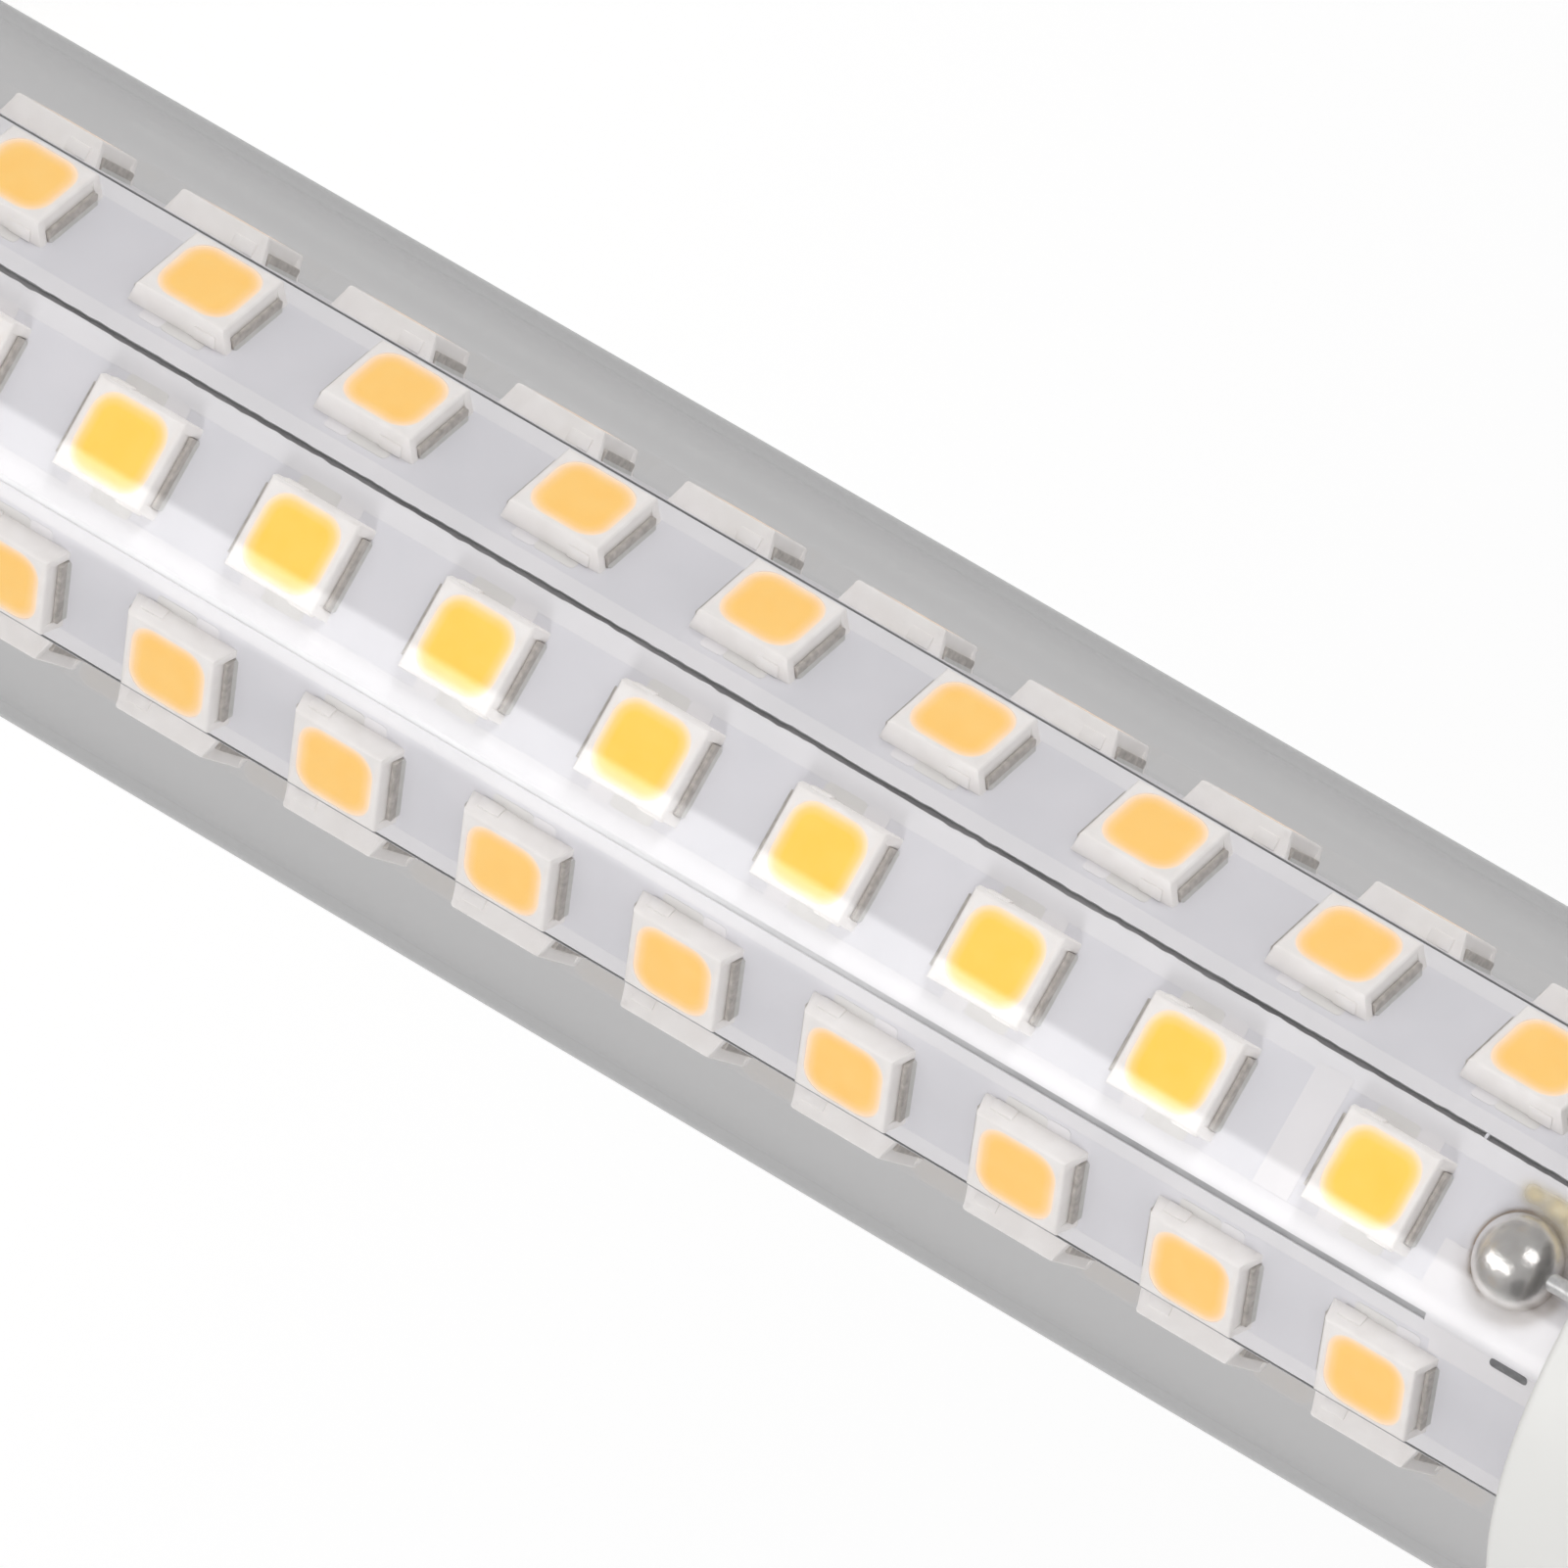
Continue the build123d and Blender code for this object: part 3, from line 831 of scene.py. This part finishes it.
bright_solder = solder_finish()
ring_flux_and_shade = flux_finish("ring_flux_and_shade", (0.22, 0.15, 0.10), (0.36, 0.27, 0.19))
stain_flux = flux_finish("stain_flux", (0.74, 0.62, 0.37), (0.86, 0.77, 0.56))
for feed, number in (("negative", 1), ("positive", face_count)):
    low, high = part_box(f"{feed}_solder")
    pad_place = rim_level - (low.z + high.z) / 2
    panel = face_matrix(number)
    blob = bmesh.new()
    bmesh.ops.create_uvsphere(
        blob, u_segments=blob_segments, v_segments=blob_segments // 2, radius=blob_radius
    )
    bmesh.ops.translate(blob, verts=blob.verts, vec=(pad_place, 0, -blob_sink))
    whole = blob.verts[:] + blob.edges[:] + blob.faces[:]
    cut = bmesh.ops.bisect_plane(
        blob, geom=whole, plane_co=(0, 0, 0), plane_no=(0, 0, -1), clear_outer=True
    )
    foot = [part for part in cut["geom_cut"] if isinstance(part, bmesh.types.BMEdge)]
    bmesh.ops.contextual_create(blob, geom=foot)
    for vert in blob.verts:
        sway = noise.noise(vert.co * blob_sway_scale) * blob_sway
        vert.co.x += sway
        vert.co.y -= sway
    bmesh.ops.transform(blob, matrix=panel, verts=blob.verts)
    bmesh.ops.recalc_face_normals(blob, faces=blob.faces)
    add_piece(f"{feed}_blob", blob, bright_solder, [f"{feed}_solder"])
    ring = flux_patch(pad_place, ring_flux_and_shade_film, film_height)
    bmesh.ops.transform(ring, matrix=panel, verts=ring.verts)
    add_piece(f"{feed}_flux", ring, ring_flux_and_shade)
    stain = flux_patch(pad_place, stain_film, stain_height)
    bmesh.ops.transform(stain, matrix=panel, verts=stain.verts)
    add_piece(f"{feed}_stain", stain, stain_flux)


def refinish(node, finish):
    """Give a piece of the frame a finish of its own."""
    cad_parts[node].data.materials.clear()
    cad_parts[node].data.materials.append(finish)


wire_tin = tin_finish("wire_tin", (0.55, 0.55, 0.55), (0.74, 0.74, 0.73), roughness=0.3)
for wire in ("negative_lead", "positive_lead", "live_lead", "neutral_lead"):
    refinish(wire, wire_tin)

# Polarity mark: a short bar screened on the board in dark ink, beside the fold next to the negative pad.
# The ink is thin, and the mask shows through it here and there.
mark_place = 1.71 * mm
mark_across = -2.18 * mm
mark_size = (1.2 * mm, 0.28 * mm)
mark_corner = 0.1 * mm
ink_thickness = 0.03 * mm


def ink_finish():
    """Screen ink, worn thin in patches."""
    finish, tree, shader = start_finish("dark_ink", (0.06, 0.06, 0.065), roughness=0.6)
    patches = add_grain(tree, scale=5200, detail=3.0)
    add_tint(tree, shader, patches, (0.09, 0.09, 0.095), (0.17, 0.17, 0.175))
    add_relief(tree, shader, patches, strength=0.2, distance=0.01 * mm)
    return finish


mark = bmesh.new()
add_block(mark, (*mark_size, ink_thickness), (mark_place, mark_across, ink_thickness / 2), side_panel)
round_flat_corners(mark, ink_thickness, mark_corner)
add_piece("polarity_bar", mark, ink_finish())

# Column supports: a white moulded disc carries the column inside the housing, and a white spacer with eight
# corners centres its free end in the tube. Both are pushed into the column.


def plastic_finish(name, dark, light, roughness, tooth):
    """Moulded plastic with a faint cloud in its colour and a fine moulded texture."""
    finish, tree, shader = start_finish(name, light, roughness=roughness)
    cloud = add_grain(tree, scale=160)
    add_tint(tree, shader, cloud, dark, light)
    add_relief(tree, shader, add_grain(tree, scale=5200), strength=tooth, distance=0.02 * mm)
    return finish


support_white = plastic_finish(
    "support_white", (0.76, 0.76, 0.74), (0.82, 0.82, 0.80), roughness=0.45, tooth=0.2
)
for node in ("column_holder", "tip_spacer"):
    refinish(node, support_white)

# Driver: a small glass-fibre board across the housing with its parts soldered on, closed in by the housing.
# The capacitor wears a dark shrink sleeve, and the small packages are black moulding compound.
glass_fibre = plastic_finish(
    "glass_fibre", (0.07, 0.22, 0.11), (0.11, 0.30, 0.15), roughness=0.4, tooth=0.3
)
shrink_sleeve = plastic_finish(
    "shrink_sleeve", (0.02, 0.03, 0.07), (0.04, 0.05, 0.11), roughness=0.3, tooth=0.1
)
black_package = plastic_finish(
    "black_package", (0.015, 0.015, 0.015), (0.03, 0.03, 0.03), roughness=0.5, tooth=0.3
)
refinish("driver_board", glass_fibre)
refinish("smoothing_capacitor", shrink_sleeve)
for node in ("bridge_rectifier", "driver_chip", "sense_resistors"):
    refinish(node, black_package)

# Clear tube: thin clear plastic, drawn straight, closed by a rounded tip and pushed into the housing.
# It casts no dark shadow on the board.
tube_low, tube_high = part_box("clear_tube")
tube_radius = tube_high.x
tube_wall = 0.4 * mm
tip_round = 2.0 * mm
tip_crown = 0.45 * mm
tip_segments = 8
tip_blend = 0.1 * mm
inner_round = 0.5 * mm
inner_segments = 4
tube_steps = 288
tube_ior = 1.52
merge_distance = 0.001 * mm


def spin_outline(points, steps):
    """A turned body from its half outline."""
    bm = bmesh.new()
    verts = [bm.verts.new((x, 0, z)) for x, z in points]
    edges = [bm.edges.new(pair) for pair in zip(verts, verts[1:])]
    bmesh.ops.spin(
        bm,
        geom=verts + edges,
        cent=(0, 0, 0),
        axis=(0, 0, 1),
        angle=2 * math.pi,
        steps=steps,
        use_merge=True,
    )
    bmesh.ops.remove_doubles(bm, verts=bm.verts, dist=merge_distance)
    bmesh.ops.recalc_face_normals(bm, faces=bm.faces)
    return bm


def corner_arc(centre, radius, start, end, segments):
    """Points on a rounded corner of an outline, from one angle to another in degrees."""
    turns = [math.radians(start + (end - start) * step / segments) for step in range(segments + 1)]
    return [(centre[0] + radius * math.cos(turn), centre[1] + radius * math.sin(turn)) for turn in turns]


def clear_finish():
    """Clear plastic, polished, with faint drawn lines along it."""
    finish, tree, shader = start_finish("clear_plastic", (0.925, 0.92, 0.922), roughness=0.0)
    shader.inputs["Transmission Weight"].default_value = 1.0
    shader.inputs["IOR"].default_value = tube_ior
    lines = add_grain(tree, scale=700, detail=2.0, stretch=(1, 1, 0.02))
    add_relief(tree, shader, lines, strength=0.015, distance=0.02 * mm)
    return finish


inner_radius = tube_radius - tube_wall
floor_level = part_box("tip_spacer")[0].z
tip_corner = tube_low.z + tip_crown + tip_round
tube_outline = [
    (0, tube_low.z),
    (0.5 * (tube_radius - tip_round), tube_low.z + 0.25 * tip_crown),
    *corner_arc((tube_radius - tip_round, tip_corner), tip_round, -90, 0, tip_segments),
    (tube_radius, tip_corner + tip_blend),
    (tube_radius, tube_high.z),
    (inner_radius, tube_high.z),
    (inner_radius, floor_level + inner_round + tip_blend),
    *corner_arc((inner_radius - inner_round, floor_level + inner_round), inner_round, 0, -90, inner_segments),
    (0, floor_level),
]
tube_body = spin_outline(tube_outline, tube_steps)
tube = add_piece("clear_cover", tube_body, clear_finish(), ["clear_tube"])
tube.visible_shadow = False
tube.visible_diffuse = False

# Base housing: moulded in off-white plastic, with a collar round the tube, a straight barrel and a short
# taper up to the screw cap. Its rim and shoulders are rounded.
collar_radius = -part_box("base_housing")[0].x
mouth_radius = tube_radius + 0.05 * mm
mouth_depth = 7.5 * mm
mouth_edge = 0.1 * mm
rim_round = 0.3 * mm
rim_segments = 5
cap_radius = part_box("screw_shell")[1].x
waist_radius = cap_radius + 0.5 * mm
seat_radius = cap_radius - 1.0 * mm
taper_length = 3.0 * mm

# Shoulder and waist of the barrel: how far in or out each point lies, and how high, in mm
shoulder_points = ((0.0, -1.2), (-0.12, -0.3), (-0.5, 0.6))
waist_points = ((0.2, -0.5), (0.0, -0.15), (-0.12, 0.0))
housing_outline = [
    (mouth_radius, rim_level + mouth_depth),
    (mouth_radius, rim_level + mouth_edge),
    (mouth_radius + mouth_edge, rim_level),
    *corner_arc((collar_radius - rim_round, rim_level + rim_round), rim_round, -90, 0, rim_segments),
    *[(collar_radius + out * mm, rise * mm - taper_length) for out, rise in shoulder_points],
    *[(waist_radius + out * mm, rise * mm) for out, rise in waist_points],
    (seat_radius, 0),
]
housing_white = plastic_finish(
    "housing_white", (0.72, 0.715, 0.695), (0.745, 0.74, 0.72), roughness=0.42, tooth=0.25
)
housing = spin_outline(housing_outline, tube_steps)
add_piece("moulded_housing", housing, housing_white, ["base_housing"])

# Screw cap: a thin brass shell with a rolled thread, nickel-plated, closed by a black insulator and a
# riveted centre contact. It is pressed over the housing's neck.
shell_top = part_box("screw_shell")[1].z
thread_pitch = 2.82 * mm
thread_depth = 0.5 * mm
thread_start = 1.6 * mm
thread_end = 13.2 * mm
thread_fade = 1.2 * mm
shell_height = 14.5 * mm
shell_rows = 110
shell_wall = 0.35 * mm
shell_inset = 0.02 * mm
shell_skin = 0.1 * mm
shell_sharp_angle = 60
lip_radius = cap_radius - 1.5 * mm


def shell_radius_at(height):
    """Half the shell's width at a height, before the thread is rolled in."""
    if height <= shell_height:
        return cap_radius - shell_inset
    rise = min(1.0, (height - shell_height) / (shell_top - shell_height))
    return lip_radius + (cap_radius - lip_radius) * math.sqrt(1 - rise * rise)


def metal_finish(name, dark, light, roughness):
    """Plated metal, with fine lines from drawing it and a faint cloud."""
    finish, tree, shader = start_finish(name, light, roughness=roughness, metallic=1.0)
    cloud = add_grain(tree, scale=300, detail=4.0)
    add_tint(tree, shader, cloud, dark, light)
    lines = add_grain(tree, scale=1500, detail=3.0, stretch=(0.15, 0.15, 4))
    add_relief(tree, shader, lines, strength=0.08, distance=0.02 * mm)
    return finish


heights = [shell_top * row / shell_rows for row in range(shell_rows + 1)]
shell_outline = [(shell_radius_at(height), height) for height in heights]
shell_outline += [
    (lip_radius - shell_wall, shell_top),
    (lip_radius - shell_wall, shell_top - shell_wall),
    (cap_radius - shell_wall - thread_depth, shell_height - shell_wall),
    (cap_radius - shell_wall - thread_depth, 0),
    (shell_radius_at(0), 0),
]
shell = spin_outline(shell_outline, tube_steps)
for vert in shell.verts:
    radius = vert.co.xy.length
    if vert.co.z <= shell_height and radius > cap_radius - shell_skin:
        turn = math.atan2(vert.co.y, vert.co.x) / (2 * math.pi)
        wave = 0.5 - 0.5 * math.cos(2 * math.pi * (vert.co.z / thread_pitch - turn))
        fade = min(1.0, max(0.0, (vert.co.z - thread_start) / thread_fade))
        fade *= min(1.0, max(0.0, (thread_end - vert.co.z) / thread_fade))
        vert.co.xy *= 1 - thread_depth * fade * wave / radius
nickel = metal_finish("nickel_plate", (0.62, 0.60, 0.56), (0.74, 0.72, 0.68), roughness=0.24)
add_piece("threaded_shell", shell, nickel, ["screw_shell"], shell_sharp_angle)

insulator_low, insulator_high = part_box("cap_insulator")
contact_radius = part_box("centre_contact")[1].x
contact_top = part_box("centre_contact")[1].z
plug_radius = lip_radius - shell_wall - 0.05 * mm
plug_edge = 0.1 * mm
plug_rise = 0.15 * mm
cone_edge = contact_radius + 0.95 * mm
cone_edge_drop = 0.25 * mm
cone_round = 0.3 * mm
cone_round_centre = contact_radius + 0.55 * mm
cone_segments = 4
insulator_steps = 96
insulator_outline = [
    (0, insulator_low.z),
    (plug_radius, insulator_low.z),
    (plug_radius, shell_top - plug_edge),
    (plug_radius - plug_edge, shell_top + plug_rise),
    (cone_edge, insulator_high.z - cone_edge_drop),
    *corner_arc((cone_round_centre, insulator_high.z - cone_round), cone_round, 40, 90, cone_segments),
    (0, insulator_high.z),
]
black_glass = plastic_finish(
    "black_insulator", (0.012, 0.012, 0.014), (0.02, 0.02, 0.023), roughness=0.18, tooth=0.08
)
insulator = spin_outline(insulator_outline, insulator_steps)
add_piece("insulator_cone", insulator, black_glass, ["cap_insulator"])

contact_sink = 0.2 * mm
contact_wall = 0.3 * mm
contact_round = 0.4 * mm
contact_round_centre = (contact_radius - contact_round, contact_top - 0.62 * mm)
contact_segments = 5
crown_radius = contact_radius * 0.45
crown_drop = 0.06 * mm
contact_steps = 72
contact_outline = [
    (0, insulator_high.z - contact_sink),
    (contact_radius, insulator_high.z - contact_sink),
    (contact_radius, insulator_high.z + contact_wall),
    *corner_arc(contact_round_centre, contact_round, 0, 80, contact_segments),
    (crown_radius, contact_top - crown_drop),
    (0, contact_top),
]
contact_plate = metal_finish("contact_plate", (0.60, 0.57, 0.50), (0.72, 0.69, 0.61), roughness=0.3)
contact = spin_outline(contact_outline, contact_steps)
add_piece("contact_button", contact, contact_plate, ["centre_contact"])

# Studio: a pale floor under the bulb, a white surround, and two soft lamps beside the camera.
# What shines on the tube and the solder is a tall soft window in the surround and a smaller one above it.
floor_size = 4.0
floor_lift = 0.35
floor_mesh = bmesh.new()
floor_place = Matrix.Translation((0, 0, cad_box[0].z))
bmesh.ops.create_grid(floor_mesh, x_segments=1, y_segments=1, size=floor_size, matrix=floor_place)
floor_data = bpy.data.meshes.new("floor")
floor_mesh.to_mesh(floor_data)
floor_mesh.free()
floor = bpy.data.objects.new("floor", floor_data)
bpy.context.scene.collection.objects.link(floor)
floor.visible_glossy = False
floor.visible_transmission = False

paper, paper_tree, paper_shader = start_finish("pale_floor", (0.9, 0.9, 0.9), roughness=0.9)
paper_shader.inputs["Emission Color"].default_value = (1, 1, 1, 1)
paper_path = paper_tree.nodes.new("ShaderNodeLightPath")
paper_lift = add_math(paper_tree, "MULTIPLY", paper_path.outputs["Is Camera Ray"], floor_lift)
paper_tree.links.new(paper_lift, paper_shader.inputs["Emission Strength"])
floor_data.materials.append(paper)

surround = bpy.data.worlds.new("surround")
bpy.context.scene.world = surround
surround.use_nodes = True
sky = surround.node_tree


def either(tree, choice, first, second):
    """The second level where choice is 1, else the first; each may be a number."""
    mix = tree.nodes.new("ShaderNodeMix")
    tree.links.new(choice, mix.inputs["Factor"])
    for socket, level in (("A", first), ("B", second)):
        if isinstance(level, (int, float)):
            mix.inputs[socket].default_value = level
        else:
            tree.links.new(level, mix.inputs[socket])
    return mix.outputs["Result"]


direction = sky.nodes.new("ShaderNodeTexCoord")
parts = sky.nodes.new("ShaderNodeSeparateXYZ")
sky.links.new(direction.outputs["Generated"], parts.inputs["Vector"])
rise = parts.outputs["Z"]
front = add_math(sky, "MULTIPLY", parts.outputs["Y"], -1.0)
azimuth = add_math(sky, "ARCTAN2", parts.outputs["X"], front)


def across_window(turns, angle=azimuth):
    """A soft step from one angle round the bulb to another, in degrees."""
    return add_step(sky, angle, math.radians(turns[0]), math.radians(turns[1]))


# The window's edges, as angles round the bulb in degrees, and its ends, as rises of a direction.
# Towards the collar, which is where the reflected direction rises, its edges lie closer together.
window_start_turns = (9.7, 13.6)
window_start_shift = 3.2
window_start_rises = (-0.371, -0.335)
window_core_turns = (26.0, 30.0)
window_core_end_turns = (38.5, 35.0)
window_late_end_turns = (46.0, 41.0)
window_early_end_turns = (36.0, 32.5)
window_early_end_rises = (-0.377, -0.351)
window_tail_turns = (66.0, 44.0)
window_top_rises = (0.1, 0.0)
window_foot_rises = (-0.92, -0.82)
window_base_level = 2.15
window_core_level = 0.7
window_tail_level = 0.3
shift_share = add_step(sky, rise, *window_start_rises)
start_shift = add_math(sky, "MULTIPLY", shift_share, math.radians(window_start_shift))
window_start = across_window(window_start_turns, add_math(sky, "SUBTRACT", azimuth, start_shift))
core_end = across_window(window_core_end_turns)
window_core = add_math(sky, "MULTIPLY", across_window(window_core_turns), core_end)
early_share = add_step(sky, rise, *window_early_end_rises)
late_end = across_window(window_late_end_turns)
window_end = either(sky, early_share, late_end, across_window(window_early_end_turns))
window_tail = add_math(sky, "MULTIPLY", across_window(window_tail_turns), window_tail_level)
window_level = add_math(sky, "MULTIPLY", window_core, window_core_level)
window_level = add_math(sky, "ADD", window_level, window_base_level)
window_level = add_math(sky, "MULTIPLY", window_level, window_end)
window_level = add_math(sky, "ADD", window_level, window_tail)
window_foot = add_step(sky, rise, *window_foot_rises)
window_height = add_math(sky, "MULTIPLY", add_step(sky, rise, *window_top_rises), window_foot)
window = add_math(sky, "MULTIPLY", window_start, window_level)
window = add_math(sky, "MULTIPLY", window, window_height)


def around(centre, inner, outer, level=1.0):
    """A level within an angle in degrees of a direction, which fades to 0 at a wider one."""
    toward = sky.nodes.new("ShaderNodeVectorMath")
    toward.operation = "DOT_PRODUCT"
    sky.links.new(direction.outputs["Generated"], toward.inputs[0])
    toward.inputs[1].default_value = Vector(centre).normalized()
    edges = math.cos(math.radians(outer)), math.cos(math.radians(inner))
    return add_math(sky, "MULTIPLY", add_step(sky, toward.outputs["Value"], *edges), level)


soft_level = 0.6
room_level = 0.48
backdrop_level = 0.6
upper_window = around((-0.46, -0.71, 0.53), inner=10, outer=20, level=2.2)
dark_corner = around((0.76, -0.30, 0.57), inner=12, outer=32, level=0.32)
backdrop = around((0.07, 0.93, -0.37), inner=1, outer=18)
room = add_math(sky, "SUBTRACT", either(sky, backdrop, room_level, backdrop_level), dark_corner)
mirrored = add_math(sky, "ADD", room, add_math(sky, "ADD", window, upper_window))
path = sky.nodes.new("ShaderNodeLightPath")
glossy = path.outputs["Is Glossy Ray"]
clear_or_bright = add_math(sky, "MAXIMUM", glossy, path.outputs["Is Transmission Ray"])
level = either(sky, clear_or_bright, soft_level, mirrored)
level = either(sky, path.outputs["Is Camera Ray"], level, 1.0)
background = sky.nodes["Background"]
background.inputs["Color"].default_value = (1, 1, 1, 1)
sky.links.new(level, background.inputs["Strength"])

view_middle = Vector((-0.755 * mm, 0, -54.05 * mm))
lamp_size = 0.45
lamp_aside = 0.6
lamp_ahead = 0.44
for name, side, power in (("right_lamp", 1, 3.3), ("left_lamp", -1, 3.15)):
    lamp = bpy.data.lights.new(name, "AREA")
    lamp.shape = "SQUARE"
    lamp.size = lamp_size
    lamp.energy = power
    lamp_object = bpy.data.objects.new(name, lamp)
    lamp_object.location = (side * lamp_aside, -lamp_ahead, 0.0)
    toward_bulb = view_middle - lamp_object.location
    lamp_object.rotation_euler = toward_bulb.to_track_quat("-Z", "Y").to_euler()
    lamp_object.visible_camera = False
    lamp_object.visible_glossy = False
    lamp_object.visible_transmission = False
    bpy.context.scene.collection.objects.link(lamp_object)

# Camera: a long lens on the cap's side of the bulb, rolled so that the bulb runs from upper left to
# lower right. It shows the middle of the tube and the edge of the collar.
view_turn = math.radians(3.2)
view_lift = math.radians(21.7)
view_roll = math.radians(120.35)
view_distance = 0.57
sensor_width = 36
focal_length = 484
near_limit = 0.01
level_reach = math.cos(view_lift)
back = Vector((-math.sin(view_turn) * level_reach, -math.cos(view_turn) * level_reach, math.sin(view_lift)))
lens = bpy.data.cameras.new("camera")
lens.sensor_width = sensor_width
lens.lens = focal_length
lens.clip_start = near_limit
camera = bpy.data.objects.new("camera", lens)
camera.location = view_middle + back * view_distance
camera.rotation_mode = "QUATERNION"
roll = Matrix.Rotation(view_roll, 3, "Z").to_quaternion()
camera.rotation_quaternion = (-back).to_track_quat("-Z", "Y") @ roll
bpy.context.scene.collection.objects.link(camera)
bpy.context.scene.camera = camera
bpy.context.scene.view_settings.view_transform = "Standard"
